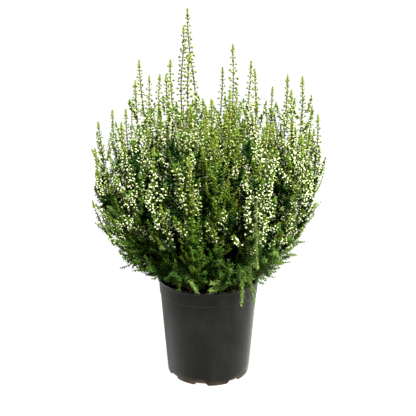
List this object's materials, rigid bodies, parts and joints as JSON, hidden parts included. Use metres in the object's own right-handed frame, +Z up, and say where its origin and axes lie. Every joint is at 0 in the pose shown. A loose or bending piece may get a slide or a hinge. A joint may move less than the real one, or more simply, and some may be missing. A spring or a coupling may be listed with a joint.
{
  "type": "potted heather",
  "caption": "Heather plant in a tapered plastic nursery pot: upright stems set with small pale buds fan out from the peat, with short leafy shoots low round the rim.",
  "frame": {"origin": "on the pot's axis, on the surface that the pot stands on", "axes": "+Z up along the pot's axis, -Y towards the viewer of the plant's front, +X to that viewer's right"},
  "size_m": [0.2821, 0.2784, 0.45],
  "materials": {
    "pot_plastic": "matte black moulded plastic with a soft sheen, faint scuffs and dust",
    "peat": "dark, crumbly, fibrous peat compost",
    "budded_stem": "red-brown twigs with small dark green leaves and greenish cream buds, satin",
    "leafy_shoot": "soft green needle leaves on green twigs, satin"
  },
  "bodies": {
    "root": {"pot": "pot_plastic", "soil": "peat", "heather_stem_01": "budded_stem", "heather_stem_02": "budded_stem", "heather_stem_03": "budded_stem", "heather_stem_04": "budded_stem", "heather_stem_05": "budded_stem", "heather_stem_06": "budded_stem", "heather_stem_07": "budded_stem", "heather_stem_08": "budded_stem", "heather_stem_09": "budded_stem", "heather_stem_10": "budded_stem", "heather_stem_11": "budded_stem", "heather_stem_12": "budded_stem", "heather_stem_13": "budded_stem", "heather_stem_14": "budded_stem", "heather_stem_15": "budded_stem", "heather_stem_16": "budded_stem", "heather_stem_17": "budded_stem", "heather_stem_18": "budded_stem", "heather_stem_19": "budded_stem", "heather_stem_20": "budded_stem", "heather_stem_21": "budded_stem", "heather_stem_22": "budded_stem", "heather_stem_23": "budded_stem", "heather_stem_24": "budded_stem", "heather_stem_25": "budded_stem", "heather_stem_26": "budded_stem", "heather_stem_27": "budded_stem", "heather_stem_28": "budded_stem", "heather_stem_29": "budded_stem", "heather_stem_30": "budded_stem", "heather_stem_31": "budded_stem", "heather_stem_32": "budded_stem", "heather_stem_33": "budded_stem", "heather_stem_34": "budded_stem", "heather_stem_35": "budded_stem", "heather_stem_36": "budded_stem", "heather_stem_37": "budded_stem", "heather_stem_38": "budded_stem", "heather_stem_39": "budded_stem", "heather_stem_40": "budded_stem", "heather_stem_41": "budded_stem", "heather_stem_42": "budded_stem", "heather_stem_43": "budded_stem", "heather_stem_44": "budded_stem", "heather_stem_45": "budded_stem", "heather_stem_46": "budded_stem", "leafy_shoot_01": "leafy_shoot", "leafy_shoot_02": "leafy_shoot", "leafy_shoot_03": "leafy_shoot", "leafy_shoot_04": "leafy_shoot", "leafy_shoot_05": "leafy_shoot", "leafy_shoot_06": "leafy_shoot", "leafy_shoot_07": "leafy_shoot", "leafy_shoot_08": "leafy_shoot", "leafy_shoot_09": "leafy_shoot", "leafy_shoot_10": "leafy_shoot", "leafy_shoot_11": "leafy_shoot", "leafy_shoot_12": "leafy_shoot"}
  },
  "joints": []
}
